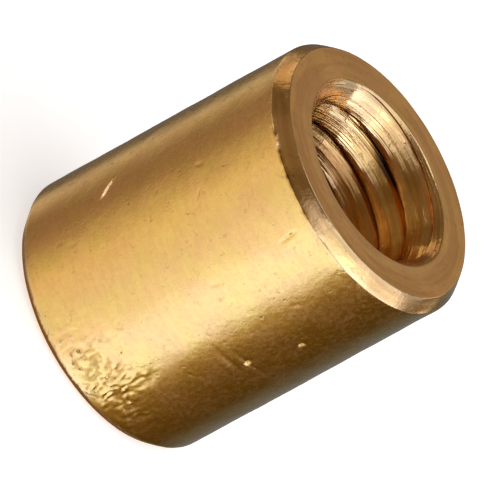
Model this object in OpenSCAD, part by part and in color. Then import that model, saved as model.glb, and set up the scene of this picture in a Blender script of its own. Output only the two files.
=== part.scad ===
// Round threaded standoff: one length of brass bar, turned, faced, drilled and tapped right through.
// It stands on one end face, with the origin at the middle of that face and the thread along +Z.

/* [Barrel] */
// Outside diameter of the barrel
outer_d = 6; // [5.5:0.5:12]
// Length over the two end faces
body_len = 7; // [3:0.5:40]

/* [Edge breaks] */
// How far each outer edge break runs along the barrel
edge_break_len = 0.3; // [0.1:0.05:0.8]
// How far each outer edge break cuts in across the end face
edge_break_depth = 0.23; // [0.05:0.01:0.6]

/* [Thread] */
// Nominal diameter of the internal metric thread
thread_d = 4; // [2:0.5:4.5]
// Pitch of the thread
thread_pitch = 0.7; // [0.35:0.05:0.8]
// Share of the full thread height that the tapping drill leaves standing
thread_share = 0.66; // [0.5:0.02:0.84]

/* [Thread mouths] */
// How much wider each countersunk mouth is than the thread
mouth_margin = 0.15; // [0.05:0.05:0.6]
// Included angle of each countersink, in degrees
mouth_angle = 90; // [60:5:120]

/* [Hidden] */

// A sharp 60 degree thread is half an equilateral triangle high on each pitch, and its working
// height is five eighths of that.
thread_height = thread_share * 5 / 8 * thread_pitch * cos(30);
// The drilled bore is what the crests of the thread lie on.
bore_d = thread_d - 2 * thread_height;
mouth_d = thread_d + mouth_margin;
mouth_slope = tan(mouth_angle / 2);
mouth_depth = (mouth_d - bore_d) / 2 / mouth_slope;
// How far each cutting tool runs on past the face that it opens
overrun = 0.5;
// Segments round the turned faces
facets = 96;

// The bar after turning and facing, with both outer edges broken.
module turned_blank() {
    outer_r = outer_d / 2;
    face_r = outer_r - edge_break_depth;
    rotate_extrude($fn = facets)
        polygon([
            [0, 0],
            [face_r, 0],
            [outer_r, edge_break_len],
            [outer_r, body_len - edge_break_len],
            [face_r, body_len],
            [0, body_len]
        ]);
}

// The tapping drill, right through the bar.
module drilled_bore() {
    translate([0, 0, -overrun])
        cylinder(d = bore_d, h = body_len + 2 * overrun, $fn = facets);
}

// The countersinking tool at the bottom face, from its full depth out past the face.
module countersink() {
    tool_d = mouth_d + 2 * overrun * mouth_slope;
    translate([0, 0, -overrun])
        cylinder(d1 = tool_d, d2 = bore_d, h = mouth_depth + overrun, $fn = facets);
}

module standoff_body() {
    color("goldenrod")
        difference() {
            turned_blank();
            drilled_bore();
            countersink();
            translate([0, 0, body_len])
                mirror([0, 0, 1])
                    countersink();
        }
}

standoff_body();
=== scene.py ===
"""The looks of a round threaded standoff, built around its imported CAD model.

The one piece is a turned brass barrel, and its tapped thread is cut as a true helix. Its mesh takes
its sizes from the CAD node that it replaces. Lengths are in millimetres unless they are said to be in
metres. The barrel's axis is the frame's Z axis, and angles go round it from +X, in degrees. Noise is
a smooth uneven pattern, the same each run, and its cells are its humps and hollows.
"""

import math
from types import SimpleNamespace

import bpy
import numpy as np
from mathutils import Matrix, Vector, noise


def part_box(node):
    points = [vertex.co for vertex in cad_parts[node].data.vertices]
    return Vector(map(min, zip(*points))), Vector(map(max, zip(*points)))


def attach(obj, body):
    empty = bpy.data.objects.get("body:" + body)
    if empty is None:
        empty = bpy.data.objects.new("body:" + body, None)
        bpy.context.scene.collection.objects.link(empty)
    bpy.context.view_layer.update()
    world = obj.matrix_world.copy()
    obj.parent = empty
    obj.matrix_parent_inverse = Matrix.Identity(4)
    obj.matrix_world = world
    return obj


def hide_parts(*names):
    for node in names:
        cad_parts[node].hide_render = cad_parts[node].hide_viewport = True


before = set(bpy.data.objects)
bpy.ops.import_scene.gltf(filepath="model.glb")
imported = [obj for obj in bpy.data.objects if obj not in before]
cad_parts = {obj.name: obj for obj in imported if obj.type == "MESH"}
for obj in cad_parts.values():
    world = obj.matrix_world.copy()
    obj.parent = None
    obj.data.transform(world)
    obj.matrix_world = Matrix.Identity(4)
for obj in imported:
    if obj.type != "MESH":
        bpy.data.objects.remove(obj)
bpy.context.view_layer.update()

MM = 0.001
NODE = "standoff_body"


# ----------------------------------------------------------------------------------------------
# Sizes
# ----------------------------------------------------------------------------------------------


def measure(node):
    """Radii and heights of the turned body, from the CAD node's corners."""
    same = 0.02
    corners = [(math.hypot(v.co.x, v.co.y) / MM, v.co.z / MM) for v in node.data.vertices]
    radii = [r for r, _ in corners]
    top = max(z for _, z in corners)
    at_top = [r for r, z in corners if z > top - same]
    low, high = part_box(NODE)
    return SimpleNamespace(
        top=top,
        outer_r=min(high.x - low.x, high.y - low.y) / 2 / MM,
        face_r=max(at_top),
        mouth_r=min(at_top),
        crest_r=min(radii),
        wall_top=max(z for r, z in corners if r > max(radii) - same),
        bore_top=max(z for r, z in corners if r < min(radii) + same),
    )


body = measure(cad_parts[NODE])

# How far the wall and the end faces lie inside the CAD surface, which leaves room for raised marks
SKIN = 0.010
END_SKIN = 0.001
# Thread: its pitch, and the height of one groove at the angle 0
PITCH = 0.7
GROOVE_START = 0.377
# Each ridge is worn on the side that faces its mouth and sharp on the other side. The worn side
# leans further from upright, step by step, towards the groove: the heights and the leans
WORN_STEPS = [(0.03, 14), (0.05, 20), (0.10, 26), (0.12, 30), (0.10, 33), (0.06, 38), (0.03, 47)]
# The sharp side's rounded edge: its radius, and how far it turns
SHARP_R = 0.04
SHARP_TURN = 62
SHARP_STEPS = 3
# Turns of thread drawn past each mouth, so that the grooves run right out of it
SPARE_TURNS = 3
# Radii of the worn corners: between an end face and its edge break, between the wall and the upper
# or the lower edge break, and round each mouth
FACE_CORNER = 0.035
WALL_CORNER = 0.040
LOW_CORNER = 0.120
MOUTH_CORNER = 0.080
CORNER_STEPS = 4

# The finishes, in the order of the piece's materials
WALL, CUT, BORE = range(3)
# Columns of the outside and of the bore, and rows of the wall
OUTER_COLUMNS = 400
BORE_COLUMNS = 220
WALL_ROWS = 138
# Rows over the top face, over each edge break and over the bottom face, as shares of the way
TOP_FACE_SHARES = [0.55, 0.8, 0.93]
BREAK_SHARES = [0.25, 0.5, 0.75]
LOW_FACE_SHARES = [0.07, 0.2, 0.45]
# Edges that turn by more than this are shaded as sharp
SHARP_EDGE = 38


# ----------------------------------------------------------------------------------------------
# Marks on the outside
# ----------------------------------------------------------------------------------------------

# Nicks: angle, height, length, width, depth, and slant from level
NICKS = [
    (218.5, 2.42, 0.58, 0.100, 0.040, -36),
    (320.2, 4.64, 0.10, 0.130, 0.054, 70),
    (314.4, 3.49, 0.10, 0.135, 0.056, 90),
    (275.3, 6.12, 0.36, 0.110, 0.030, 100),
    (277.8, 4.15, 0.14, 0.120, 0.016, 60),
    (231.5, 4.78, 0.14, 0.100, 0.018, 60),
    (243.0, 4.62, 0.22, 0.070, 0.012, -30),
    (247.0, 4.55, 0.20, 0.070, 0.012, -50),
    (258.0, 3.10, 0.14, 0.080, 0.010, 20),
    (236.0, 1.45, 0.16, 0.080, 0.010, 70),
    (301.0, 5.30, 0.16, 0.080, 0.014, 40),
    (331.0, 2.60, 0.18, 0.080, 0.014, -60),
    (306.0, 2.35, 0.12, 0.090, 0.014, 10),
]
# Where a nick is deepest, as a share of the way from its middle to its steeper side
NICK_BOTTOM = 0.5
# Level scratches: first and last angle, height, width and depth
SCRATCHES = [
    (301, 330, 3.48, 0.080, 0.0140),
    (295, 321, 3.225, 0.090, 0.0150),
    (300, 318, 5.55, 0.040, 0.0040),
    (235, 262, 6.12, 0.040, 0.0035),
    (240, 258, 4.03, 0.040, 0.0030),
]
# Soft unevenness, wide and narrow: the size of a dimple, its depth, and where the noise is read
DIMPLES = [(0.55, 0.0070, (0.0, 0.0, 0.0)), (0.16, 0.0012, (7.0, 3.0, 1.0))]
# How much of that unevenness an end face has, as a share of the wall's
FACE_DIMPLES = 0.15
# All edges are worn by a depth, with waves and chips along them. Counts are in cells a radian, and
# edges differ in where the noise is read
EDGE_WEAR = SimpleNamespace(depth=0.003, waves=0.003, wave_count=6.0, chips=0.004, chip_count=19.0)
EDGE_PATTERN = 0.37
# Dents in the lower edge of the top edge break: angle, reach and depth
EDGE_DENTS = [(240, 9, 0.011), (262, 5, 0.008), (284, 6, 0.010), (307, 4, 0.008)]
# Where that edge is burred
EDGE_BURR = SimpleNamespace(angle=250, reach=34, depth=0.012, count=44.0)
# Painted shade along it: how far past the burrs it runs, how much there is and how patchy it is
EDGE_SHADE_LINE = SimpleNamespace(past=1.3, share=0.75, patchy=0.6, wide_count=9.0, small_count=24.0)
EDGE_SHADE_LINE_PATTERN = 0.6
# The chewed patch by the bottom edge. It narrows downwards, and its ragged border fades out. The
# last five values are in shares of the reaches
CHEWED = SimpleNamespace(
    angle=288,
    height=0.78,
    angle_reach=26,
    height_reach=0.95,
    depth=0.050,
    narrowing=0.5,
    border=0.80,
    ragged=0.5,
    fade=0.20,
    end=1.6,
)
# Its wrinkles: the size of one round the barrel and along it, how sharp its crease is, how far it
# strays and over what length, and which of the possible patterns this is
WRINKLE = SimpleNamespace(across=0.16, along=0.24, sharp=2.6, stray=0.7, bend=0.25, pattern=65.0)
# How deep the patch is between wrinkles, in them and in its fine grit, as shares of its depth
CHEWED_SHARES = SimpleNamespace(level=0.35, wrinkles=0.6, grit=0.25)
GRIT = SimpleNamespace(across=0.08, along=0.10, pattern=9.0)
RAGGED = SimpleNamespace(across=0.35, along=0.35, pattern=2.0)


def wrapped(degrees):
    """An angle difference brought into -180 to 180 degrees."""
    return (degrees + 180) % 360 - 180


def swell(x):
    """1 at 0, falling smoothly to 0 at 1 and beyond."""
    return (1 - x * x) ** 2 if abs(x) < 1 else 0.0


def strayed(place):
    """A smooth shift that varies from place to place."""
    layer = 11.3
    return Vector([noise.noise(place + Vector((0.0, 0.0, layer * k))) for k in (1, 2, 3)])


def wall_noise(arc, height, cell):
    """Noise on the unrolled wall, with cells of a size and a pattern of their own."""
    return noise.noise(Vector((arc / cell.across, height / cell.along, cell.pattern)))


def ring_place(angle, layer):
    """A place on a circle, for noise that joins up round the part."""
    turn = math.radians(angle)
    return Vector((math.cos(turn), math.sin(turn), layer))


def nick_depth(angle, height, mark):
    """A groove with one long side and one steep side."""
    centre, level, length, width, depth, slant = mark
    arc = math.radians(wrapped(angle - centre)) * body.outer_r
    rise = height - level
    if math.hypot(arc, rise) > length + width:
        return 0.0
    turn = math.radians(slant)
    along = arc * math.cos(turn) + rise * math.sin(turn)
    across = (rise * math.cos(turn) - arc * math.sin(turn)) / (width / 2)
    if across < NICK_BOTTOM:
        section = (across + 1) / (NICK_BOTTOM + 1)
    else:
        section = (1 - across) / (1 - NICK_BOTTOM)
    return depth * max(0.0, section) * max(0.0, 1 - (along / (length / 2 + width / 4)) ** 4)


def scratch_depth(angle, height, mark):
    """A level line that is deepest halfway along."""
    first, last, level, width, depth = mark
    run = swell(wrapped(angle - (first + last) / 2) / ((last - first) / 2))
    return depth * run * swell((height - level) / width)


def chewed_depth(angle, height):
    """Wrinkles that run mostly along the barrel, as a hard jaw leaves them."""
    across = wrapped(angle - CHEWED.angle) / CHEWED.angle_reach
    along = (height - CHEWED.height) / CHEWED.height_reach
    away = math.hypot(across * (1 + CHEWED.narrowing * along), along)
    if away > CHEWED.end:
        return 0.0
    arc = math.radians(angle) * body.outer_r
    place = Vector((arc / WRINKLE.across, height / WRINKLE.along, 0.0))
    bend = Vector((arc / WRINKLE.bend, height / WRINKLE.bend, WRINKLE.pattern))
    place += WRINKLE.stray * strayed(bend)
    creases = 1 - WRINKLE.sharp * abs(noise.noise(place))
    ragged = CHEWED.ragged * wall_noise(arc, height, RAGGED)
    share = 1 / (1 + math.exp((away - CHEWED.border - ragged) / CHEWED.fade))
    wrinkled = CHEWED_SHARES.level + CHEWED_SHARES.wrinkles * creases
    wrinkled += CHEWED_SHARES.grit * wall_noise(arc, height, GRIT)
    return CHEWED.depth * share * wrinkled


def mark_depth(angle, height):
    """How far the marks press the wall in."""
    depth = sum(nick_depth(angle, height, mark) for mark in NICKS)
    depth += sum(scratch_depth(angle, height, mark) for mark in SCRATCHES)
    return depth + chewed_depth(angle, height)


def dimple_depth(point):
    """Soft shallow unevenness, as on any handled metal."""
    return sum(depth * noise.noise(point / size + Vector(start)) for size, depth, start in DIMPLES)


def painted_edge_shade(angle):
    """How much shade is painted along the lower edge of the top edge break, as a broken dark line."""
    place = ring_place(angle, EDGE_SHADE_LINE_PATTERN)
    patches = EDGE_SHADE_LINE.share + EDGE_SHADE_LINE.patchy * noise.noise(place * EDGE_SHADE_LINE.wide_count)
    patches += EDGE_SHADE_LINE.patchy * noise.noise(place * EDGE_SHADE_LINE.small_count)
    run = swell(wrapped(angle - EDGE_BURR.angle) / (EDGE_SHADE_LINE.past * EDGE_BURR.reach))
    return run * max(0.0, patches)


def edge_depth(angle, edge):
    """How far wear has pushed an edge in, at an angle. The edges are counted from the top."""
    place = ring_place(angle, EDGE_PATTERN * edge)
    depth = EDGE_WEAR.depth + EDGE_WEAR.waves * noise.noise(place * EDGE_WEAR.wave_count)
    depth += EDGE_WEAR.chips * abs(noise.noise(place * EDGE_WEAR.chip_count))
    if edge == 1:
        depth += sum(d * swell(wrapped(angle - at) / reach) for at, reach, d in EDGE_DENTS)
        burr = swell(wrapped(angle - EDGE_BURR.angle) / EDGE_BURR.reach)
        depth += EDGE_BURR.depth * burr * max(0.0, noise.noise(place * EDGE_BURR.count))
    return depth


# ----------------------------------------------------------------------------------------------
# The outside: a turned section, drawn from the top mouth over the wall to the bottom mouth
# ----------------------------------------------------------------------------------------------

# Where the wall's rows and the outside's columns lie closer together, round the marks: the middle,
# the reach, and how much closer they lie
CLOSE_ROWS = [
    (CHEWED.height, 1.0, 0.5),
    (2.42, 0.30, 1.4),
    (3.245, 0.07, 2.4),
    (3.49, 0.07, 2.4),
    (4.65, 0.07, 2.4),
]
CLOSE_COLUMNS = [(270, 75, 0.8), (289, 22, 0.6), (218.5, 6, 1.8), (317, 5, 1.2), (252, 20, 0.8)]


def graded(start, stop, count, spans):
    """count + 1 places from start to stop, closer in each (middle, reach, closeness) span."""
    steps = 7200
    places = np.linspace(start, stop, steps + 1)
    density = np.ones_like(places)
    for middle, reach, closeness in spans:
        density += closeness * np.exp(-(((places - middle) / reach) ** 2))
    passed = np.concatenate(([0.0], np.cumsum((density[1:] + density[:-1]) / 2)))
    return np.interp(np.linspace(0, passed[-1], count + 1), passed, places)


def rounded(before, corner, after, radius):
    """A corner as an arc: (point, outward normal) pairs from the first side to the second."""
    back = (before - corner).normalized()
    ahead = (after - corner).normalized()
    half = back.angle(ahead) / 2
    reach = radius / math.tan(half)
    centre = corner + (back + ahead).normalized() * radius / math.sin(half)
    first = corner + back * reach - centre
    last = corner + ahead * reach - centre
    pairs = []
    for step in range(CORNER_STEPS + 1):
        facing = (first.lerp(last, step / CORNER_STEPS)).normalized()
        pairs.append((centre + facing * radius, facing))
    return pairs


def straight(start, stop, shares):
    """Points between two ends of a straight side, with its outward normal."""
    along = stop - start
    facing = Vector((-along.y, along.x)).normalized()
    return [(start + along * share, facing) for share in shares]


def wall_shares():
    """The wall's rows, as shares of the way down it."""
    length = 2 * body.wall_top - body.top
    spans = [((body.wall_top - at) / length, reach / length, close) for at, reach, close in CLOSE_ROWS]
    return graded(0, 1, WALL_ROWS, spans)[1:-1]


def section():
    """The outside's rows: (radius and height, outward normal), and the four worn corners."""
    outer = body.outer_r - SKIN
    top = body.top - END_SKIN
    low = END_SKIN
    # The end faces begin just outside the mouths' rounded corners
    mouth = body.mouth_r + 0.5 * MOUTH_CORNER
    corners = [
        Vector((body.face_r, top)),
        Vector((outer, body.wall_top)),
        Vector((outer, body.top - body.wall_top)),
        Vector((body.face_r, low)),
    ]
    path = [Vector((mouth, top)), *corners, Vector((mouth, low))]
    radii = [FACE_CORNER, WALL_CORNER, LOW_CORNER, FACE_CORNER]
    arcs = [rounded(*path[i : i + 3], radius) for i, radius in enumerate(radii)]
    between = [BREAK_SHARES, wall_shares(), BREAK_SHARES]
    rows = straight(path[0], arcs[0][0][0], TOP_FACE_SHARES) + arcs[0]
    for arc, following, shares in zip(arcs, arcs[1:], between):
        rows += straight(arc[-1][0], following[0][0], shares) + following
    rows += straight(arcs[-1][-1][0], path[-1], LOW_FACE_SHARES)
    return rows, corners


def outer_angles():
    """The angles of the outside's columns."""
    return graded(0, 360, OUTER_COLUMNS, CLOSE_COLUMNS)[:-1]


# ----------------------------------------------------------------------------------------------
# The bore: a helical thread, with a countersink at each mouth
# ----------------------------------------------------------------------------------------------

# Torn and rubbed metal left by the tap: cells in a millimetre across and along the bore, where the
# noise is read, and the depth
TAP_MARKS = [(1.3, 4.0, 0.0, 0.016), (0.4, 13.0, 4.0, 0.010), (4.0, 7.0, 9.0, 0.010)]
# How far inside a mouth those marks reach their full depth
TAP_FADE = 0.15


def thread_profile():
    """One pitch of the thread near the top mouth: (height, radius) pairs, upwards from a groove."""
    crest = PITCH - sum(rise for rise, _ in WORN_STEPS)
    worn = [(crest, body.crest_r)]
    for rise, lean in WORN_STEPS:
        z, r = worn[-1]
        worn.append((z + rise, r + rise * math.tan(math.radians(lean))))
    root_r = worn[-1][1]
    turns = np.radians(np.linspace(SHARP_TURN, 0, SHARP_STEPS + 1))[:-1]
    sharp = []
    for turn in turns:
        r = body.crest_r + SHARP_R * (1 - math.cos(turn))
        sharp.append((crest - SHARP_R * math.sin(turn), r))
    edge_z, edge_r = sharp[0]
    root_z = edge_z - (root_r - edge_r) / math.tan(turns[0])
    return np.array([(root_z, root_r), *sharp, *worn])


def cone_radius(z):
    """The countersinks' radius at a height, from whichever mouth is nearer."""
    slope = (body.mouth_r - body.crest_r) / (body.top - body.bore_top)
    return body.mouth_r - slope * np.minimum(z, body.top - z)


def bore_grid(ends):
    """Radii and heights of the bore's points, a row for each angle, and how many make one pitch.

    At each angle the points are the thread's profile, pitch after pitch, lifted by the angle's share
    of the pitch. Between two profile points there is room for a place where they meet a countersink.
    Below the barrel's middle the profile is turned over, so that both mouths look alike.
    """
    upper = thread_profile()
    lower = np.column_stack((PITCH - upper[::-1, 0], upper[::-1, 1]))
    turns = np.arange(-SPARE_TURNS, int(body.top / PITCH) + SPARE_TURNS) * PITCH + GROOVE_START
    lift = np.arange(BORE_COLUMNS) / BORE_COLUMNS * PITCH
    starts = lift[:, None, None] + turns[None, :, None]
    share = np.clip((starts + PITCH / 2 - body.top / 2) / PITCH + 0.5, 0, 1)
    z = (starts + lower[:, 0] + share * (upper[:, 0] - lower[:, 0])).reshape(BORE_COLUMNS, -1)
    r = (lower[:, 1] + share * (upper[:, 1] - lower[:, 1])).reshape(BORE_COLUMNS, -1)
    proud = r - cone_radius(z)
    here, there = proud[:, :-1], proud[:, 1:]
    not_zero = 1e-12
    share = np.where(here * there < 0, here / (here - there + not_zero), 0.0)
    both_z = np.empty((BORE_COLUMNS, 2 * z.shape[1] - 1))
    both_r = np.empty_like(both_z)
    both_z[:, ::2] = z
    both_r[:, ::2] = r
    both_z[:, 1::2] = z[:, :-1] + share * (z[:, 1:] - z[:, :-1])
    both_r[:, 1::2] = r[:, :-1] + share * (r[:, 1:] - r[:, :-1])
    both_z = np.clip(both_z, *ends)
    widest = cone_radius(np.array(ends[1]))
    return np.clip(both_r, cone_radius(both_z), widest), both_z, 2 * len(upper)


def bore_depth(point):
    """How far the tap's marks push the bore outwards, or inwards where it is below zero."""
    depth = 0
    for across, along, start, share in TAP_MARKS:
        place = Vector((point.x * across, point.y * across, point.z * along + start))
        depth += share * noise.noise(place)
    return depth


# ----------------------------------------------------------------------------------------------
# Wear and painted light in one number: rubbing and painted highlight above zero, dirt and painted
# shade below
# ----------------------------------------------------------------------------------------------

# Nearness to a worn edge is 1 at it and fades over this distance, and faint nearness counts for none
EDGE_REACH = 0.045
FAINT = 0.01
# How bright the two top edges are rubbed
EDGE_RUB = 0.6
# Shade is painted in marks and in worn edges that are deeper than this, over so much more depth,
# and marks hold only so much of it
SHADED_MARK = SimpleNamespace(depth=0.025, over=0.060, most=0.32)
SHADED_EDGE = SimpleNamespace(depth=0.022, over=0.010)
# How quickly the painted shade line along the top edge break ends away from its edge
EDGE_SHADE_FALLOFF = 2.2
# How bright the mouths' corners are rubbed
MOUTH_RUB = 0.4
# How far from the bore's radius a ridge is rubbed
CREST_REACH = 0.06
# How far from the root of a groove its painted shade reaches, without and with the black root line
ROOT_REACH = 0.06
SHADOW_ROOT_REACH = 0.10
# Painted shade in the grooves: how much there is all round, and where there is more
GROOVE_SHADE = SimpleNamespace(everywhere=0.30, more=0.50, angle=115, reach=92)
# Painted shade as a black line along the root of the groove nearest to the top mouth
ROOT_SHADOW = SimpleNamespace(angle=92, height=6.15, reach=20, height_reach=0.35)
# A painted highlight below the top mouth: where, how bright, and how much dirt and shade it lifts
PAINTED_HIGHLIGHT = SimpleNamespace(angle=153, depth=0.55, reach=46, height_reach=1.30, share=1.35, cleaned=0.8)
# Where dirt is smeared round the bore, and how much of it there is. It starts some way inside a
# mouth, over some more depth
SMEAR = SimpleNamespace(angle=50, reach=60, share=0.62, start=0.24, over=0.30)
# It lies in arcs along the thread: how thick they are, how broken, and how small their cells are
# round the bore and along it
ARCS = SimpleNamespace(level=0.6, broken=2.2, round_cells=1.6, along_cells=9.0)
# A point counts as in a groove when it lies this far outside the countersink's cone
GROOVE_MARGIN = 0.002


def outside_wear_and_shade(pressed, edges, near, edge_line_shade):
    """The outside's rubbing and painted shade, from how deep its marks and edges are, and its
    nearness to each edge.

    The painted shade counts twice, so that where it is thick it hides any rubbing.
    """
    rubbed_and_highlight = min(1.0, max(near[0], near[1]) * EDGE_RUB)
    # Painted shade in deep marks and in the dents of worn edges
    dirt_and_painted_shade = min(SHADED_MARK.most, max(0.0, (pressed - SHADED_MARK.depth) / SHADED_MARK.over))
    dirt_and_painted_shade += max(0.0, (edges - SHADED_EDGE.depth) / SHADED_EDGE.over)
    dirt_and_painted_shade = min(1.0, dirt_and_painted_shade + edge_line_shade * max(0.0, 1 - EDGE_SHADE_FALLOFF * (1 - near[1])))
    return rubbed_and_highlight - 2 * dirt_and_painted_shade


def smear_share(angle, height):
    """Dirt smeared along the thread in broken arcs."""
    across = swell(wrapped(angle - SMEAR.angle) / SMEAR.reach)
    turn = math.radians(angle)
    local = height - PITCH * angle / 360
    x = math.cos(turn) * ARCS.round_cells
    y = math.sin(turn) * ARCS.round_cells
    arcs = noise.noise(Vector((x, y, local * ARCS.along_cells)))
    return SMEAR.share * across * max(0.0, ARCS.level + ARCS.broken * arcs)


def painted_groove_shade(angle, z, r, root_r):
    """Painted shade in a groove near its root, with its black line where it is deepest."""
    if z >= body.bore_top or r <= float(cone_radius(z)) + GROOVE_MARGIN:
        return 0
    root_shadow = swell(wrapped(angle - ROOT_SHADOW.angle) / ROOT_SHADOW.reach)
    root_shadow *= swell((z - ROOT_SHADOW.height) / ROOT_SHADOW.height_reach)
    more = GROOVE_SHADE.more * swell(wrapped(angle - GROOVE_SHADE.angle) / GROOVE_SHADE.reach)
    shade_amount = GROOVE_SHADE.everywhere + more + root_shadow
    return max(0.0, 1 - (root_r - r) / (ROOT_REACH + SHADOW_ROOT_REACH * root_shadow)) * shade_amount


def bore_wear_and_shade(angle, z, r, root_r, ends):
    """The bore's wear and painted light: rubbed ridges, painted shade in the grooves, the smear and
    the painted highlight.
    """
    inside = min(z - ends[0], ends[1] - z)
    # Painted shade in the grooves, and the smear of dirt
    dirt_and_painted_shade = painted_groove_shade(angle, z, r, root_r)
    dirt_and_painted_shade += smear_share(angle, z) * min(1.0, max(0.0, (inside - SMEAR.start) / SMEAR.over))
    # A highlight painted on the bore below its top mouth
    highlight = swell(wrapped(angle - PAINTED_HIGHLIGHT.angle) / PAINTED_HIGHLIGHT.reach)
    highlight *= swell((ends[1] - z - PAINTED_HIGHLIGHT.depth) / PAINTED_HIGHLIGHT.height_reach)
    rubbed_and_highlight = max(0.0, 1 - abs(r - body.crest_r) / CREST_REACH)
    rubbed_and_highlight = max(rubbed_and_highlight, PAINTED_HIGHLIGHT.share * highlight)
    return rubbed_and_highlight - dirt_and_painted_shade * (1 - PAINTED_HIGHLIGHT.cleaned * highlight)


# ----------------------------------------------------------------------------------------------
# Meshing
# ----------------------------------------------------------------------------------------------


class Skin:
    """Rings of points joined into one closed surface, each further on round the section."""

    def __init__(self):
        self.points = []
        self.wear_and_painted_light = []
        self.faces = []
        self.finish = WALL
        self.finishes = []

    def add(self, point, wear_and_painted_light):
        """A new point with its wear and painted light. Returns its number."""
        self.points.append(tuple(point))
        self.wear_and_painted_light.append(wear_and_painted_light)
        return len(self.points) - 1

    def face(self, *corners):
        """A new face in the present finish."""
        self.faces.append(corners)
        self.finishes.append(self.finish)

    def band(self, first, second):
        """Quads between two rings with as many points."""
        for i in range(len(first)):
            j = (i + 1) % len(first)
            self.face(first[i], second[i], second[j], first[j])

    def bands(self, rings):
        """Quads between each ring and the next."""
        for first, second in zip(rings, rings[1:]):
            self.band(first, second)

    def lace(self, first, first_angles, second, second_angles):
        """Triangles between two rings with different numbers of points."""
        ends = [*first_angles, 360], [*second_angles, 360]
        i = j = 0
        while i < len(first) or j < len(second):
            here, there = first[i % len(first)], second[j % len(second)]
            if j == len(second) or (i < len(first) and ends[0][i + 1] <= ends[1][j + 1]):
                i += 1
                self.face(here, there, first[i % len(first)])
            else:
                j += 1
                self.face(here, there, second[j % len(second)])

    def mesh(self, name):
        """The welded surface as a mesh in metres, with its wear and painted light as an attribute."""
        weld_digits = 6
        places = np.round(np.array(self.points), weld_digits)
        _, first, same = np.unique(places, axis=0, return_index=True, return_inverse=True)
        same = same.reshape(-1)
        faces = []
        finishes = []
        for face, finish in zip(self.faces, self.finishes):
            loop = [int(same[i]) for i in face]
            loop = [a for a, b in zip(loop, loop[1:] + loop[:1]) if a != b]
            if len(loop) > 2:
                faces.append(loop)
                finishes.append(finish)
        mesh = bpy.data.meshes.new(name)
        mesh.from_pydata((np.array(self.points)[first] * MM).tolist(), [], faces)
        wear_and_painted_light = mesh.attributes.new("wear_and_painted_light", "FLOAT", "POINT")
        wear_and_painted_light.data.foreach_set("value", np.array(self.wear_and_painted_light, np.float32)[first])
        mesh.polygons.foreach_set("material_index", finishes)
        mesh.validate()
        return mesh


def spoke(angle, radius, height):
    """A point at an angle, a radius and a height."""
    turn = math.radians(angle)
    return Vector((radius * math.cos(turn), radius * math.sin(turn), height))


def add_outside(skin, angles):
    """All rows of the outside. Returns the first and the last ring."""
    rows, corners = section()
    rings = []
    worn = [[edge_depth(angle, edge) for angle in angles] for edge in range(len(corners))]
    # Shade painted along the top edge break, at each angle
    edge_line_shade = [painted_edge_shade(angle) for angle in angles]
    low, high = corners[2].y, corners[1].y
    for place, facing in rows:
        near = [math.exp(-(((place - corner).length / EDGE_REACH) ** 2)) for corner in corners]
        dimpled = FACE_DIMPLES + (1 - FACE_DIMPLES) * abs(facing.x)
        # Marks stop at the top edge break and fade out down the bottom one
        fade = min(1.0, place.y / low)
        ring = []
        for i, angle in enumerate(angles):
            point = spoke(angle, place.x, place.y)
            pressed = mark_depth(angle, place.y) * fade if place.y < high else 0.0
            edges = sum(share * worn[edge][i] for edge, share in enumerate(near) if share > FAINT)
            depth = dimple_depth(point) * dimpled + pressed + edges
            point -= spoke(angle, facing.x, facing.y) * depth
            ring.append(skin.add(point, outside_wear_and_shade(pressed, edges, near, edge_line_shade[i])))
        rings.append(ring)
    on_wall = [low - LOW_CORNER <= place.y <= high for place, _ in rows]
    for i, (first, second) in enumerate(zip(rings, rings[1:])):
        skin.finish = WALL if on_wall[i] and on_wall[i + 1] else CUT
        skin.band(first, second)
    return rings[0], rings[-1]


def mouth_rings(skin, angles, sign):
    """The rounded corner of the top mouth (sign 1) or the bottom mouth (sign -1).

    Returns the height where it leaves the countersink, and its rings from there to the end face.
    """
    level = body.top if sign > 0 else 0.0
    # Any deeper place on the cone shows which way the countersink leans
    deeper = level - sign
    face = level - sign * END_SKIN
    corner = Vector((body.mouth_r, face))
    inside = Vector((float(cone_radius(np.array(deeper))), deeper))
    arc = rounded(inside, corner, Vector((body.face_r, face)), MOUTH_CORNER)
    rings = []
    for place, _ in arc[1:]:
        rings.append([skin.add(spoke(angle, place.x, place.y), MOUTH_RUB) for angle in angles])
    return arc[0][0].y, rings


def add_bore(skin, angles, low_rings, high_rings, ends):
    """The threaded bore, joined to the rings of both mouths."""
    radii, heights, per_pitch = bore_grid(ends)
    root_r = thread_profile()[0, 1]
    rows = radii.shape[1]
    grid = []
    for column, angle in enumerate(angles):
        line = []
        for r, z in zip(radii[column].tolist(), heights[column].tolist()):
            point = spoke(angle, r, z)
            inside = min(z - ends[0], ends[1] - z)
            depth = bore_depth(point) * min(1.0, inside / TAP_FADE)
            wear_and_painted_light = bore_wear_and_shade(angle, z, r, root_r, ends)
            line.append(skin.add(point + spoke(angle, depth, 0), wear_and_painted_light))
        grid.append(line)
    for here, there in zip(grid, grid[1:]):
        join_columns(skin, here, there, 0, rows)
    # A turn later the thread is one pitch higher
    join_columns(skin, grid[-1], grid[0], per_pitch, rows)
    skin.bands([*reversed(low_rings), [line[0] for line in grid]])
    skin.bands([[line[-1] for line in grid], *high_rings])


def join_columns(skin, here, there, lift, rows):
    """Quads between two columns of the bore, the second of them lifted by a number of rows."""
    for row in range(rows - 1):
        lower = there[min(row + lift, rows - 1)]
        upper = there[min(row + 1 + lift, rows - 1)]
        skin.face(here[row], here[row + 1], upper, lower)


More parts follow.
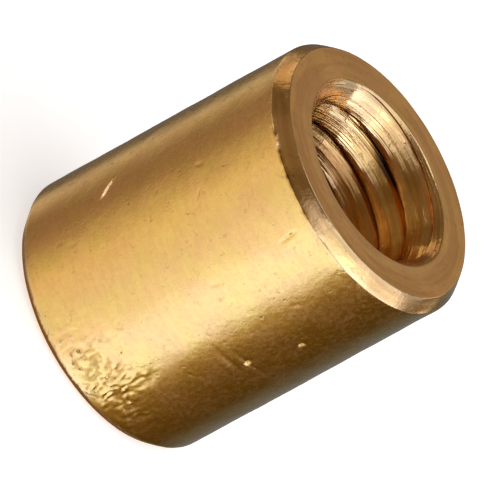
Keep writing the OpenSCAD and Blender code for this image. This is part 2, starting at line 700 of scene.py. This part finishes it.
def standoff():
    """The whole barrel as one closed piece."""
    skin = Skin()
    outer = outer_angles()
    inner = np.arange(BORE_COLUMNS) / BORE_COLUMNS * 360
    first, last = add_outside(skin, outer)
    high, high_rings = mouth_rings(skin, inner, 1)
    low, low_rings = mouth_rings(skin, inner, -1)
    skin.lace(high_rings[-1], inner, first, outer)
    skin.lace(last, outer, low_rings[-1], inner)
    skin.finish = BORE
    add_bore(skin, inner, low_rings, high_rings, (low, high))
    mesh = skin.mesh("standoff")
    mesh.shade_smooth()
    mesh.set_sharp_from_angle(angle=math.radians(SHARP_EDGE))
    return placed("standoff", mesh)


def placed(name, data):
    """A new object in the scene."""
    thing = bpy.data.objects.new(name, data)
    bpy.context.scene.collection.objects.link(thing)
    return thing


# ----------------------------------------------------------------------------------------------
# Materials
# ----------------------------------------------------------------------------------------------

# Colours of the brass: its two clean tones, its duller mottling, streaks and clouds, its painted
# shade deep in the bore and its specks, then where it is rubbed or painted as a highlight, and the
# brown and the dark of dirt and painted shade
CLEAN = (0.895, 0.530, 0.140)
CLEAN_PINKER = (0.915, 0.498, 0.160)
MOTTLED = (0.60, 0.33, 0.09)
STREAKED = (0.58, 0.27, 0.07)
CLOUDED = (0.68, 0.37, 0.10)
DEEP_SHADE = (0.50, 0.22, 0.05)
SPECKED = (0.45, 0.22, 0.055)
RUBBED_AND_HIGHLIGHT = (0.96, 0.66, 0.28)
SHADE_AND_DIRT_BROWN = (0.58, 0.26, 0.035)
SHADE_AND_DIRT_DARK = (0.10, 0.045, 0.015)
# The three finishes. The smaller round_share is, the further the streaks are drawn out round the
# part. ring_depth is in millimetres, streaks is how much they show, and pits is how much rougher
# the metal is in its pits
FINISHES = {
    "turned_brass": SimpleNamespace(
        roughness=0.24,
        anisotropy=0.40,
        coat=0.5,
        round_share=0.6,
        ring_depth=0.0002,
        streaks=0.10,
        pits=0.11,
    ),
    "cut_brass": SimpleNamespace(
        roughness=0.22,
        anisotropy=0.30,
        coat=0.20,
        round_share=0.12,
        ring_depth=0.003,
        streaks=0.45,
        pits=0.03,
    ),
    "bore_brass": SimpleNamespace(
        roughness=0.22,
        anisotropy=0.20,
        coat=0.10,
        round_share=0.06,
        ring_depth=0.023,
        streaks=0.60,
        pits=0.0,
    ),
}
# Depth of the fine grain on every finish
GRAIN_DEPTH = 0.0028
# The noise values between which specks come in
SPECK_RANGE = (0.60, 0.78)
# How much a millimetre outwards moves the streaks on, beside one along the barrel, and how much
# finer they are along than round
OUTWARD_SHARE = 0.45
STREAK_FINENESS = 2.5
# How far inside a mouth the shade painted in the bore starts, where it is darkest, and how dark
DEEP_START = 1.25
DEEP_END = 1.9
DEEP_SHARE = 0.85
# The bore lies within this share of the end face's radius
BORE_SHARE = 0.85


def add(tree, kind, inputs=None, **settings):
    """A new shader node, with its settings made and its inputs set or linked."""
    made = tree.nodes.new("ShaderNode" + kind)
    for name, value in settings.items():
        setattr(made, name, value)
    for key, value in (inputs or {}).items():
        if isinstance(value, bpy.types.NodeSocket):
            tree.links.new(value, made.inputs[key])
        else:
            made.inputs[key].default_value = value
    return made


def maths(tree, operation, *values):
    """A number worked out from one, two or three others."""
    return add(tree, "Math", dict(enumerate(values)), operation=operation).outputs[0]


def mapped(tree, value, low, high, to_low=0.0, to_high=1.0):
    """A value eased from one range to another."""
    inputs = {0: value, 1: low, 2: high, 3: to_low, 4: to_high}
    return add(tree, "MapRange", inputs, interpolation_type="SMOOTHSTEP").outputs[0]


def mixed(tree, share, first, second):
    """A colour between two colours."""
    node = add(tree, "Mix", {"Factor": share}, data_type="RGBA")
    for key, value in ((6, first), (7, second)):
        if isinstance(value, bpy.types.NodeSocket):
            tree.links.new(value, node.inputs[key])
        else:
            node.inputs[key].default_value = (*value, 1)
    return node.outputs[2]


def clouds(tree, place, scale, detail=3.0, rough=0.55):
    """Noise of some cells a millimetre, with finer detail by octaves and by its roughness."""
    inputs = {"Vector": place, "Scale": scale, "Detail": detail, "Roughness": rough}
    return add(tree, "TexNoise", inputs).outputs[0]


def blank_material(name):
    """A new material with no nodes in it, and its node tree."""
    material = bpy.data.materials.new(name)
    material.use_nodes = True
    material.node_tree.nodes.clear()
    return material, material.node_tree


def glowing_material(name, colour):
    """A material that shows one colour, or a colour attribute, whatever the light."""
    material, tree = blank_material(name)
    if isinstance(colour, str):
        colour = add(tree, "Attribute", attribute_name=colour).outputs["Color"]
    light = add(tree, "Emission", {"Color": colour, "Strength": 1.0})
    add(tree, "OutputMaterial", {"Surface": light.outputs[0]})
    return material


def brass_patterns(tree, round_share):
    """The brass's noise patterns, with the place they are read at in millimetres."""
    place = add(tree, "TexCoord").outputs["Object"]
    place = add(tree, "VectorMath", {0: place, "Scale": 1 / MM}, operation="SCALE").outputs[0]
    axes = add(tree, "SeparateXYZ", {0: place})
    x, y, z = axes.outputs[0], axes.outputs[1], axes.outputs[2]
    across = add(tree, "CombineXYZ", {0: x, 1: y, 2: 0.0}).outputs[0]
    radius = add(tree, "VectorMath", {0: across}, operation="LENGTH").outputs["Value"]

    # The streaks follow the turning: they change quickly along the section and slowly round it
    along = maths(tree, "MULTIPLY_ADD", radius, OUTWARD_SHARE, z)
    along = maths(tree, "MULTIPLY", along, STREAK_FINENESS)
    slow_x, slow_y = [maths(tree, "MULTIPLY", axis, round_share) for axis in (x, y)]
    turned = add(tree, "CombineXYZ", {0: slow_x, 1: slow_y, 2: along}).outputs[0]
    return SimpleNamespace(
        z=z,
        radius=radius,
        strokes=clouds(tree, turned, 3.6, 1.5),
        rings=clouds(tree, turned, 11.0, 2.0),
        patches=clouds(tree, place, 1.6, 4.0, 0.6),
        broad=clouds(tree, place, 1.1, 3.0, 0.6),
        mottle=clouds(tree, place, 4.5, 2.0),
        specks=clouds(tree, place, 7.0, 3.0),
        grain=clouds(tree, place, 16.0, 3.0),
        pitted=clouds(tree, place, 10.0, 3.0, 0.65),
        scuffs=scuff_lines(tree, place),
    )


def scuff_lines(tree, place):
    """Thin dark lines in some places: where a noise passes through its middle value."""
    middle = 0.5
    line = maths(tree, "ABSOLUTE", maths(tree, "SUBTRACT", clouds(tree, place, 2.2, 2.0), middle))
    line = mapped(tree, line, 0.0, 0.012, 1.0, 0.0)
    here = mapped(tree, clouds(tree, place, 3.7, 1.0), 0.54, 0.66)
    return maths(tree, "MULTIPLY", line, here)


def deep_shade_share(tree, z, radius):
    """How deep in the bore a place is: shade is painted darker there."""
    half = body.top / 2
    off_middle = maths(tree, "ABSOLUTE", maths(tree, "SUBTRACT", z, half))
    inside = maths(tree, "SUBTRACT", half, off_middle)
    in_bore = maths(tree, "LESS_THAN", radius, BORE_SHARE * body.face_r)
    deep = mapped(tree, inside, DEEP_START, DEEP_END, 0.0, DEEP_SHARE)
    return maths(tree, "MULTIPLY", deep, in_bore)


def brass_colour(tree, pattern, finish, rubbed_and_highlight, dirt_and_painted_shade):
    """Layers of colour, each laid over those before it by how much of it shows.

    A layer made from noise has the two values of the noise between which it comes in, and then,
    unless it comes in fully, the shares from none to the most of it.
    """
    streaks = finish.streaks
    layers = [
        (mapped(tree, pattern.patches, 0.36, 0.64), CLEAN_PINKER),
        (mapped(tree, pattern.mottle, 0.35, 0.70, 0, 0.04 + 0.35 * streaks), MOTTLED),
        (mapped(tree, pattern.strokes, 0.44, 0.58, 0, streaks), STREAKED),
        (mapped(tree, pattern.rings, 0.50, 0.68, 0, 0.7 * streaks), STREAKED),
        (mapped(tree, pattern.broad, 0.38, 0.66, 0, streaks), CLOUDED),
        # Painted shade, darker deeper in the bore
        (deep_shade_share(tree, pattern.z, pattern.radius), DEEP_SHADE),
        (mapped(tree, pattern.specks, *SPECK_RANGE, 0, 0.45), SPECKED),
        (maths(tree, "MULTIPLY", pattern.scuffs, 0.45), SPECKED),
        # Rubbed edges, and the painted highlight in the bore
        (maths(tree, "MULTIPLY", rubbed_and_highlight, 0.5), RUBBED_AND_HIGHLIGHT),
        # Dirt and painted shade, brown where thin and dark where thick
        (mapped(tree, dirt_and_painted_shade, 0.0, 0.5, 0, 0.8), SHADE_AND_DIRT_BROWN),
        (mapped(tree, dirt_and_painted_shade, 0.4, 1.0, 0, 0.9), SHADE_AND_DIRT_DARK),
    ]
    colour = CLEAN
    for share, tone in layers:
        colour = mixed(tree, share, colour, tone)
    return colour


def brass_roughness(tree, pattern, finish, rubbed_and_highlight):
    """Uneven in patches and pits, and smoother where the metal is rubbed."""
    uneven = 0.03
    smoother = -0.08
    low, high = finish.roughness - uneven, finish.roughness + uneven
    rough = mapped(tree, pattern.patches, 0.3, 0.7, low, high)
    rough = maths(tree, "MULTIPLY_ADD", maths(tree, "MINIMUM", rubbed_and_highlight, 1.0), smoother, rough)
    pits = mapped(tree, pattern.pitted, 0.28, 0.78, -0.5 * finish.pits, finish.pits)
    return maths(tree, "ADD", rough, pits)


def brass_bump(tree, pattern, finish):
    """The rings of turning, the grain, soft mottling and sunken specks, in depths of the grain."""
    ring_share = 0.3
    mottle_depth = 2.2
    speck_depth = -1.5
    height = maths(tree, "MULTIPLY_ADD", pattern.rings, ring_share, pattern.strokes)
    height = maths(tree, "MULTIPLY", height, finish.ring_depth / GRAIN_DEPTH)
    height = maths(tree, "ADD", height, pattern.grain)
    height = maths(tree, "MULTIPLY_ADD", pattern.mottle, mottle_depth, height)
    specks = mapped(tree, pattern.specks, *SPECK_RANGE)
    height = maths(tree, "MULTIPLY_ADD", specks, speck_depth, height)
    bump = add(tree, "Bump", {"Height": height, "Distance": GRAIN_DEPTH * MM, "Strength": 1.0})
    return bump.outputs[0]


def brass(name, finish):
    """Worn yellow brass with the fine rings of turning, brown specks, rubbed edges and dirt, and with
    shade and a highlight painted into its colour.
    """
    material, tree = blank_material(name)
    pattern = brass_patterns(tree, finish.round_share)
    wear_and_painted_light = add(tree, "Attribute", attribute_name="wear_and_painted_light").outputs["Fac"]
    rubbed_and_highlight = maths(tree, "MAXIMUM", wear_and_painted_light, 0.0)
    # Dirt and painted shade lie below zero in the attribute, rubbing and the painted highlight above
    # it
    dirt_and_painted_shade = maths(tree, "MINIMUM", maths(tree, "MULTIPLY", wear_and_painted_light, -1.0), 1.0)
    dirt_and_painted_shade = maths(tree, "MAXIMUM", dirt_and_painted_shade, 0.0)
    inputs = {
        "Base Color": brass_colour(tree, pattern, finish, rubbed_and_highlight, dirt_and_painted_shade),
        "Metallic": 1.0,
        "Roughness": brass_roughness(tree, pattern, finish, rubbed_and_highlight),
        "Anisotropic": finish.anisotropy,
        "Anisotropic Rotation": 0.25,
        "Coat Weight": finish.coat,
        "Coat Roughness": 0.20,
        "Normal": brass_bump(tree, pattern, finish),
        "Tangent": add(tree, "Tangent", direction_type="RADIAL", axis="Z").outputs[0],
    }
    shader = add(tree, "BsdfPrincipled", inputs)
    add(tree, "OutputMaterial", {"Surface": shader.outputs[0]})
    return material


# ----------------------------------------------------------------------------------------------
# Studio
# ----------------------------------------------------------------------------------------------

FLOOR_HALF_WIDTH = 1500
FLOOR_TONE = 0.80
# What is added to the lit floor's brightness where the camera or the metal sees it
FLOOR_LIFT = 0.55
WORLD_LEVEL = 0.16
WORLD_TINT = (1.05, 0.82, 0.64)
# The painted reflections that the glowing card shows the barrel: the place on the barrel that it
# lights, as an angle from its left side over its front to its right, and the card's glow there
PAINTED_REFLECTION_TONES = [
    (0, (0.13, 0.14, 0.14)),
    (15, (0.13, 0.11, 0.07)),
    (23, (0.66, 0.63, 0.48)),
    (27, (0.46, 0.41, 0.31)),
    (31, (0.34, 0.29, 0.22)),
    (36, (0.27, 0.21, 0.16)),
    (46, (0.34, 0.27, 0.22)),
    (57, (0.65, 0.64, 0.45)),
    (64, (0.88, 0.86, 0.73)),
    (80, (0.96, 1.07, 1.12)),
    (90, (1.12, 1.26, 1.48)),
    (98, (1.25, 1.64, 2.40)),
    (112, (1.27, 1.62, 2.30)),
    (117, (0.50, 0.45, 0.20)),
    (122, (0.29, 0.22, 0.09)),
    (131, (0.14, 0.09, 0.01)),
    (141, (0.10, 0.06, 0.00)),
    (150, (0.08, 0.05, 0.01)),
    (160, (0.12, 0.13, 0.11)),
    (180, (0.23, 0.26, 0.30)),
]
CARD_STEP = 3
# How far the card reaches out from the barrel, and how far it does where it lights the barrel within
# some degrees of its left or right side, which mirrors the floor far away
CARD_REACH = 80
FAR_CARD_REACH = 500
FAR_CARD_ANGLE = 20
# How high above the floor the card and the shades lie
CARD_HEIGHT = 0.03
# The card starts at this radius, under the bottom edge, and the shade of that edge ends there
UNDERSIDE_R = 2.86
BORE_TONE = (0.03, 0.015, 0.005)
EDGE_TONE = (0.20, 0.14, 0.09)
SHADE_STEP = 6

# The tints of the lamps
WHITE = (1.0, 1.0, 1.0)
PALE = (1.0, 0.91, 0.86)
COOL = (0.78, 1.0, 1.7)
WARM = (1.0, 0.85, 0.75)
# What a lamp is for: gleams in the metal, light on all that isn't mirrored, or both
GLEAM, LIGHT, BOTH = range(3)
# The middle of the part in metres, where most of the lamps point
CENTRE = (0.0, 0.0, body.top / 2 * MM)
# The lamps, in metres: name, place, the place it points at, width and height, level, tint and use.
# Lamps that overlap stand at different heights, because at the same height one hides the other
LAMPS = [
    ("overhead", (0.50, -0.075, 0.47), (0.50, -0.075, 0), (0.96, 0.85), 1.7, WHITE, LIGHT),
    ("overhead_glint", (0.55, -0.075, 0.45), (0.55, -0.075, 0), (0.86, 0.85), 1.05, COOL, GLEAM),
    ("front_glint", (0.05, -0.45, 0.44), (0.05, -0.45, 0), (0.22, 0.20), 0.9, COOL, GLEAM),
    ("middle_glint", (0, 0.14, 0.46), (0, 0.14, 0), (0.24, 0.22), 1.3, COOL, GLEAM),
    ("left_high", (-0.50, -0.25, 0.43), CENTRE, (0.50, 0.50), 0.09, WARM, GLEAM),
    ("right_front", (0.501, -0.522, 0.376), CENTRE, (0.78, 0.30), 1.62, COOL, GLEAM),
    ("right", (0.716, -0.126, 0.180), CENTRE, (0.85, 0.30), 1.7, COOL, GLEAM),
    ("right_back", (0.587, 0.367, 0.273), CENTRE, (0.48, 0.28), 0.46, COOL, BOTH),
    ("far_right", (0.36, 0.57, 0.27), CENTRE, (0.22, 0.22), 0.75, WARM, GLEAM),
    ("left", (-0.544, -0.254, 0.055), CENTRE, (0.20, 0.10), 2.4, COOL, GLEAM),
    ("left_back", (-0.585, 0.40, 0.165), CENTRE, (0.34, 0.22), 0.66, WARM, BOTH),
    ("back", (0, 0.55, 0.30), CENTRE, (0.50, 0.36), 0.225, PALE, BOTH),
    ("fill", (-0.35, -0.30, 0.50), CENTRE, (0.50, 0.50), 1.2, WHITE, LIGHT),
]

# Where the camera stands: its elevation above the floor, its roll and its distance in metres
CAMERA_ELEVATION = 28.6
CAMERA_ROLL = 61.2
CAMERA_DISTANCE = 0.40
SENSOR_WIDTH = 36
# Width of the picture at the part, and how far the part's middle lies left of and above its centre
VIEW_WIDTH = 10.04
VIEW_OFFSET = (0.130, 0.069)


def floor_paint():
    """A plain pale floor. Seen by the camera or in the metal, it is lifted to white."""
    material, tree = blank_material("floor_paint")
    paint = add(tree, "BsdfDiffuse", {"Color": (FLOOR_TONE, FLOOR_TONE, FLOOR_TONE, 1)})
    path = add(tree, "LightPath")
    seen = maths(tree, "ADD", path.outputs["Is Camera Ray"], path.outputs["Is Glossy Ray"])
    seen = maths(tree, "ADD", seen, path.outputs["Is Transmission Ray"])
    seen = maths(tree, "MINIMUM", seen, 1.0)
    lift = add(tree, "Emission", {"Strength": maths(tree, "MULTIPLY", seen, FLOOR_LIFT)})
    both = add(tree, "AddShader", {0: paint.outputs[0], 1: lift.outputs[0]})
    add(tree, "OutputMaterial", {"Surface": both.outputs[0]})
    return material


def flat_mesh(name, points, faces, material):
    """A flat mesh from points in metres."""
    mesh = bpy.data.meshes.new(name)
    mesh.from_pydata(points, [], faces)
    mesh.materials.append(material)
    return mesh


def stage_in_metal(name, mesh):
    """Puts a mesh on the floor that is seen only in the metal."""
    thing = placed(name, mesh)
    thing.visible_camera = False
    thing.visible_diffuse = False
    thing.visible_shadow = False


def make_floor():
    """The square floor that the part stands on."""
    half = FLOOR_HALF_WIDTH * MM
    corners = [(-half, -half, 0), (half, -half, 0), (half, half, 0), (-half, half, 0)]
    floor = placed("floor", flat_mesh("floor", corners, [(0, 1, 2, 3)], floor_paint()))


def make_card():
    """A glowing card that lies round the front half of the part and is seen only in its metal. Its
    glow is a painted reflection of light, shade and highlight.

    From the camera's side, each upright strip of the barrel mirrors one line on the floor, which
    runs out from the strip at twice its angle. The card's tones follow those lines.
    """
    angles = np.arange(0, 180 + 1, CARD_STEP)
    stops, tones = zip(*PAINTED_REFLECTION_TONES)
    points = []
    glow = []
    for angle in angles:
        near_side = min(angle, 180 - angle) <= FAR_CARD_ANGLE
        reach = FAR_CARD_REACH if near_side else CARD_REACH
        start = spoke(angle - 180, body.outer_r, CARD_HEIGHT)
        under = spoke(angle - 180, UNDERSIDE_R, CARD_HEIGHT)
        end = start + spoke(2 * angle - 270, reach, 0)
        points += [under * MM, start * MM, end * MM]
        tone = [float(np.interp(angle, stops, channel)) for channel in zip(*tones)]
        glow += [*tone, 1.0] * 3
    faces = []
    for first in range(0, len(points) - 3, 3):
        faces.append((first, first + 1, first + 4, first + 3))
        faces.append((first + 1, first + 2, first + 5, first + 4))
    mesh = flat_mesh("card", points, faces, glowing_material("card_painted_reflection", "tone"))
    tone = mesh.attributes.new("tone", "FLOAT_COLOR", "POINT")
    tone.data.foreach_set("color", glow)
    stage_in_metal("card", mesh)


def make_shade(name, inner_r, outer_r, tone, last=360):
    """A toned ring on the floor, from the angle 0 to a last angle."""
    angles = range(0, last + 1, SHADE_STEP)
    points = [spoke(angle, r, CARD_HEIGHT) * MM for angle in angles for r in (inner_r, outer_r)]
    faces = [(2 * i, 2 * i + 1, 2 * i + 3, 2 * i + 2) for i in range(len(angles) - 1)]
    stage_in_metal(name, flat_mesh(name, points, faces, glowing_material(name, (*tone, 1))))


def make_underside():
    """The darkness below the bore and under the bottom edge, which the metal mirrors."""
    make_shade("bore_shade", 0.0, body.mouth_r, BORE_TONE)
    make_shade("edge_shade", body.mouth_r, UNDERSIDE_R, EDGE_TONE)
    make_shade("back_shade", UNDERSIDE_R, body.outer_r, EDGE_TONE, last=180)


def soft_lamp(name, place, aim, size, level, tint, use):
    """A rectangular lamp. Its level is its radiance."""
    width, height = size
    lamp = bpy.data.lights.new(name, "AREA")
    lamp.shape = "RECTANGLE"
    lamp.size = width
    lamp.size_y = height
    lamp.energy = level * math.pi * width * height
    lamp.color = tint
    thing = placed(name, lamp)
    look = (Vector(aim) - Vector(place)).to_track_quat("-Z", "Y").to_matrix().to_4x4()
    thing.matrix_world = Matrix.Translation(Vector(place)) @ look
    thing.visible_camera = False
    thing.visible_glossy = use != LIGHT
    thing.visible_diffuse = use != GLEAM


def make_light():
    """The world's even light and all the lamps."""
    world = bpy.data.worlds.new("studio")
    world.use_nodes = True
    world.node_tree.nodes["Background"].inputs["Color"].default_value = (*WORLD_TINT, 1)
    world.node_tree.nodes["Background"].inputs["Strength"].default_value = WORLD_LEVEL
    bpy.context.scene.world = world
    for lamp in LAMPS:
        soft_lamp(*lamp)


def make_camera():
    """A long lens at the photograph's angle, rolled as the photograph shows the part."""
    data = bpy.data.cameras.new("camera")
    data.sensor_width = SENSOR_WIDTH
    data.lens = SENSOR_WIDTH * CAMERA_DISTANCE / (VIEW_WIDTH * MM)
    camera = placed("camera", data)
    elevation = math.radians(CAMERA_ELEVATION)
    outward = Vector((0, -math.cos(elevation), math.sin(elevation)))
    turn = Matrix.Rotation(math.radians(90 - CAMERA_ELEVATION), 4, "X")
    turn = turn @ Matrix.Rotation(math.radians(CAMERA_ROLL), 4, "Z")
    right, up = turn.col[0].xyz, turn.col[1].xyz
    middle = Vector((0, 0, body.top / 2)) + right * VIEW_OFFSET[0] - up * VIEW_OFFSET[1]
    camera.matrix_world = Matrix.Translation(middle * MM + outward * CAMERA_DISTANCE) @ turn
    bpy.context.scene.camera = camera


# ----------------------------------------------------------------------------------------------
# The scene
# ----------------------------------------------------------------------------------------------

make_camera()
piece = standoff()
for name, finish in FINISHES.items():
    piece.data.materials.append(brass(name, finish))
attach(piece, "root")
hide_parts(NODE)
make_floor()
make_card()
make_underside()
make_light()
bpy.context.scene.view_settings.view_transform = "Standard"
